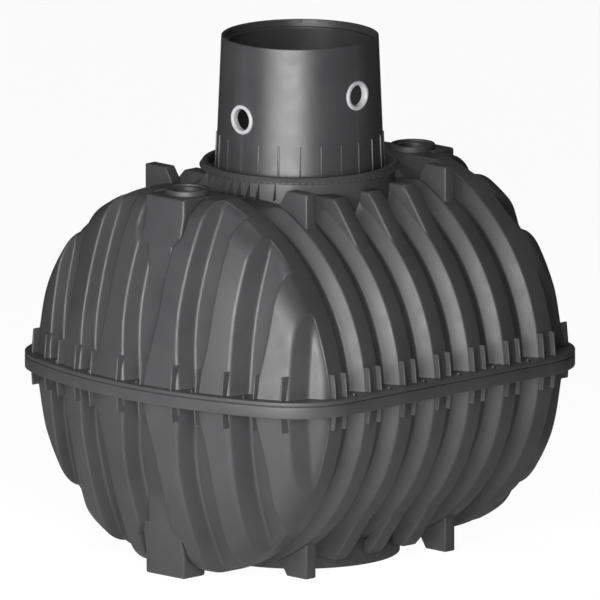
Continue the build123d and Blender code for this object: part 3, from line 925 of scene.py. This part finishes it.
RIB_COUNT = 24
GRIP_COUNT = 96
RIB_TOP = 1.975
rib_lean = neck_radius(RIB_TOP) - NECK_BASE_RADIUS
neck_rib = small_block("rib", (-0.004, -0.0045, NECK_FOOT), (0.005, 0.0045, RIB_TOP), 0.003, rib_lean)
neck_ribs = ring_of("neck_ribs", neck_rib, RIB_COUNT, NECK_BASE_RADIUS, 0, neck_plastic)
rim_tick = small_block("tick", (-0.002, -0.009, -0.012), (0.0015, 0.009, -0.002), 0.001)
rim_ticks = ring_of("rim_ticks", rim_tick, RIB_COUNT, 0.3525, NECK_HIGH, neck_plastic)
join_into(neck, neck_ribs, rim_ticks)
hand_over(neck, neck_plastic, "neck_plastic", "neck")
hand_over(lock_ring, shell_plastic, "tank_shell", "lock_ring")
grip = small_block("grip", (-0.006, -0.007, -0.003), (0.0015, 0.007, 0.005), 0.0008)
grips = ring_of("ring_grips", grip, GRIP_COUNT, RING_RADIUS, 1.817, seal_rubber)
hand_over(grips, seal_rubber, "seam_rubber")

# %% [markdown]
# One bolt clamps the flange in every valley. A bolt is a washer and a hexagonal head, turned and stacked;
# a second small tree puts a copy on each of the points that it is given.

# %% Flange bolts


def points_tree():
    sockets = {"Points": "Geometry", "Part": "Object", "Finish": "Material"}
    tree, given, result = start_tree("copies_on_points", sockets)
    source = tree.nodes.new("GeometryNodeObjectInfo")
    copies = tree.nodes.new("GeometryNodeInstanceOnPoints")
    real = tree.nodes.new("GeometryNodeRealizeInstances")
    finish = tree.nodes.new("GeometryNodeSetMaterial")
    wires = [(given.outputs["Points"], copies.inputs["Points"]),
             (given.outputs["Part"], source.inputs["Object"]),
             (source.outputs["Geometry"], copies.inputs["Instance"]),
             (copies.outputs[0], real.inputs[0]),
             (real.outputs[0], finish.inputs["Geometry"]),
             (given.outputs["Finish"], finish.inputs["Material"]),
             (finish.outputs[0], result.inputs[0])]
    for output, socket in wires:
        tree.links.new(output, socket)
    return tree


spots_tree = points_tree()


def copies_at(name, part, spots, material):
    """Copies of a part on a list of points."""
    mesh = bpy.data.meshes.new(name)
    mesh.from_pydata(spots, [], [])
    return run_tree(link_piece(name, mesh), spots_tree, {"Part": part, "Finish": material})


BOLT_SETBACK = 0.037
BOLT_OFFSET = 0.033
spots = []
for valley in (-2.5, -1.5, -0.5, 0.5, 1.5, 2.5):
    spots += [(valley * HOOP_PITCH - BOLT_OFFSET, -HALF_WIDTH + BOLT_SETBACK, upper_top),
              (valley * HOOP_PITCH + BOLT_OFFSET, HALF_WIDTH - BOLT_SETBACK, upper_top)]
for y in (-0.602, -0.3305, 0.0, 0.3305, 0.602):
    for way in (-1, 1):
        bolt_y = y + way * BOLT_OFFSET
        edge = HALF_LENGTH - END_RADIUS + math.sqrt((END_RADIUS - BOLT_SETBACK) ** 2 - bolt_y ** 2)
        spots.append((way * edge, bolt_y, upper_top))
washer_section = rounded([(0.004, 0), (0.015, 0), (0.015, 0.006), (0.004, 0.006)], 0.0012, steps=2)
washer = lathe("washer", washer_section, 20)
washers = copies_at("flange_washers", washer, spots, seal_rubber)
hand_over(washers, seal_rubber, "seam_rubber")
BOLT_RADIUS = 0.007
hexagon = [(BOLT_RADIUS * math.cos(a), BOLT_RADIUS * math.sin(a)) for a in circle_angles(6)]
head = pushed("hexagon", hexagon, [lambda p, z=z: (p[0], p[1], z) for z in (0.0055, 0.0105)], 0.001, 2)
bolts = copies_at("flange_bolts", head, spots, zinc)
hand_over(bolts, zinc, None)

# %% [markdown]
# The floor is a wide sheet that glows for the camera, so that the ground is as white as in the photograph
# and takes only a little of the tank's shadow.

# %% Floor
FLOOR_HALF = 40
FLOOR_LEVEL = -0.001
floor_mesh = bpy.data.meshes.new("floor")
corners = [(FLOOR_HALF * x, FLOOR_HALF * y, FLOOR_LEVEL) for x, y in ((-1, -1), (1, -1), (1, 1), (-1, 1))]
floor_mesh.from_pydata(corners, [], [(0, 1, 2, 3)])
floor = link_piece("floor", floor_mesh)
pale = bpy.data.materials.new("pale_floor")
pale.use_nodes = True
pale_tree = pale.node_tree
diffuse = pale_tree.nodes["Principled BSDF"]
diffuse.inputs["Base Color"].default_value = (0.82, 0.82, 0.82, 1)
diffuse.inputs["Roughness"].default_value = 0.9
glow = pale_tree.nodes.new("ShaderNodeEmission")
glow.inputs["Strength"].default_value = 1.08
rays = pale_tree.nodes.new("ShaderNodeLightPath")
share = pale_tree.nodes.new("ShaderNodeMath")
share.operation = "MULTIPLY"
share.inputs[1].default_value = 0.88
blend = pale_tree.nodes.new("ShaderNodeMixShader")
pale_tree.links.new(rays.outputs["Is Camera Ray"], share.inputs[0])
pale_tree.links.new(share.outputs[0], blend.inputs["Fac"])
pale_tree.links.new(diffuse.outputs[0], blend.inputs[1])
pale_tree.links.new(glow.outputs[0], blend.inputs[2])
pale_tree.links.new(blend.outputs[0], pale_tree.nodes["Material Output"].inputs["Surface"])
floor_mesh.materials.append(pale)
